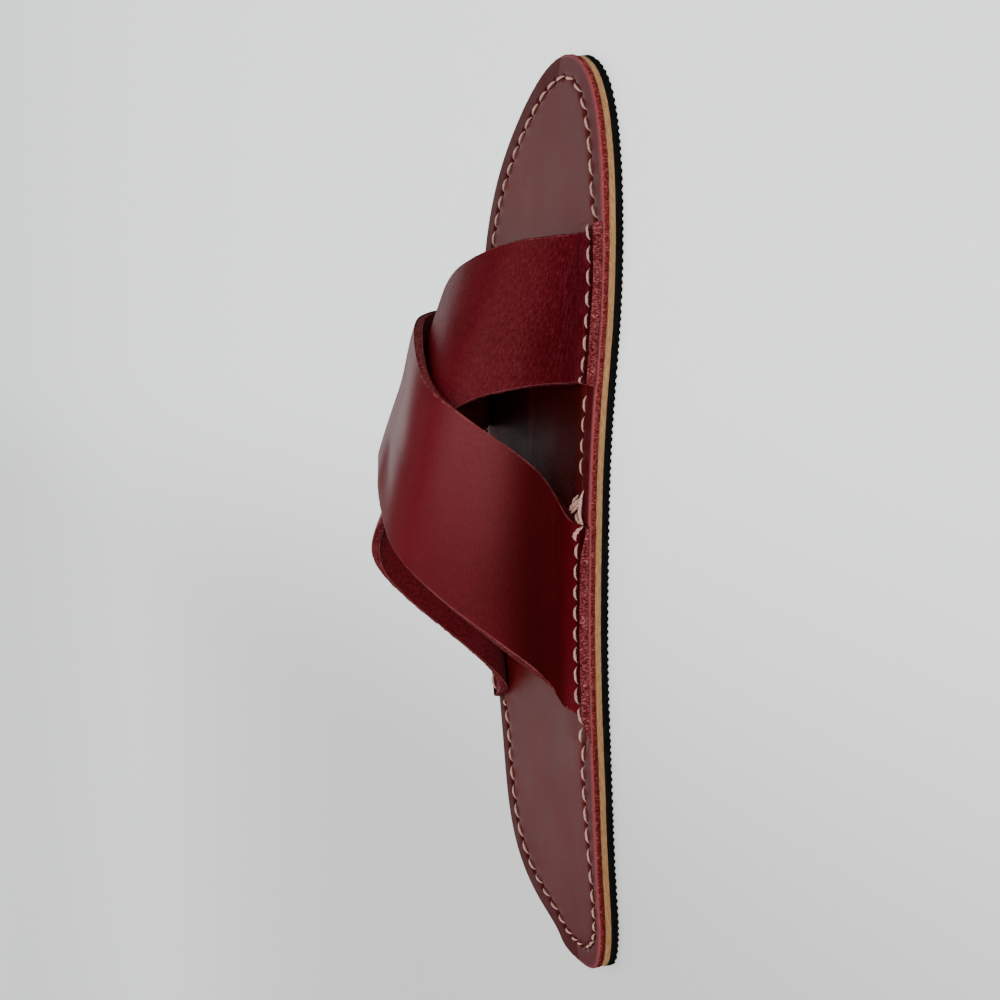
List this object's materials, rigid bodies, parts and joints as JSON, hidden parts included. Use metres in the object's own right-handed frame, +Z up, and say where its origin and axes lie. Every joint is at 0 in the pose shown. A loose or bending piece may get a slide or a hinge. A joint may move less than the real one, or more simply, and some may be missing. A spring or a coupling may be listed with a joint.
{
  "type": "cross strap sandal",
  "caption": "Flat leather slide sandal with a layered sole and two wide red straps that cross over the instep",
  "frame": {"origin": "middle of the sole's box, on the floor", "axes": "+Z up; the toe points to -Y and the heel to +Y; -X is the big toe's side, as on a left foot"},
  "size_m": [0.094, 0.28, 0.0601],
  "materials": {
    "outsole_rubber": "matt black rubber with fine ribs",
    "midsole_leather": "undyed tan leather, cut edge",
    "insole_leather": "matt brown-red leather",
    "strap_leather": "smooth dark red leather with fine grain",
    "thread": "thick pale pink waxed thread"
  },
  "bodies": {
    "root": {"outsole": "outsole_rubber", "midsole": "midsole_leather", "insole": "insole_leather", "upper": "strap_leather"}
  },
  "joints": []
}
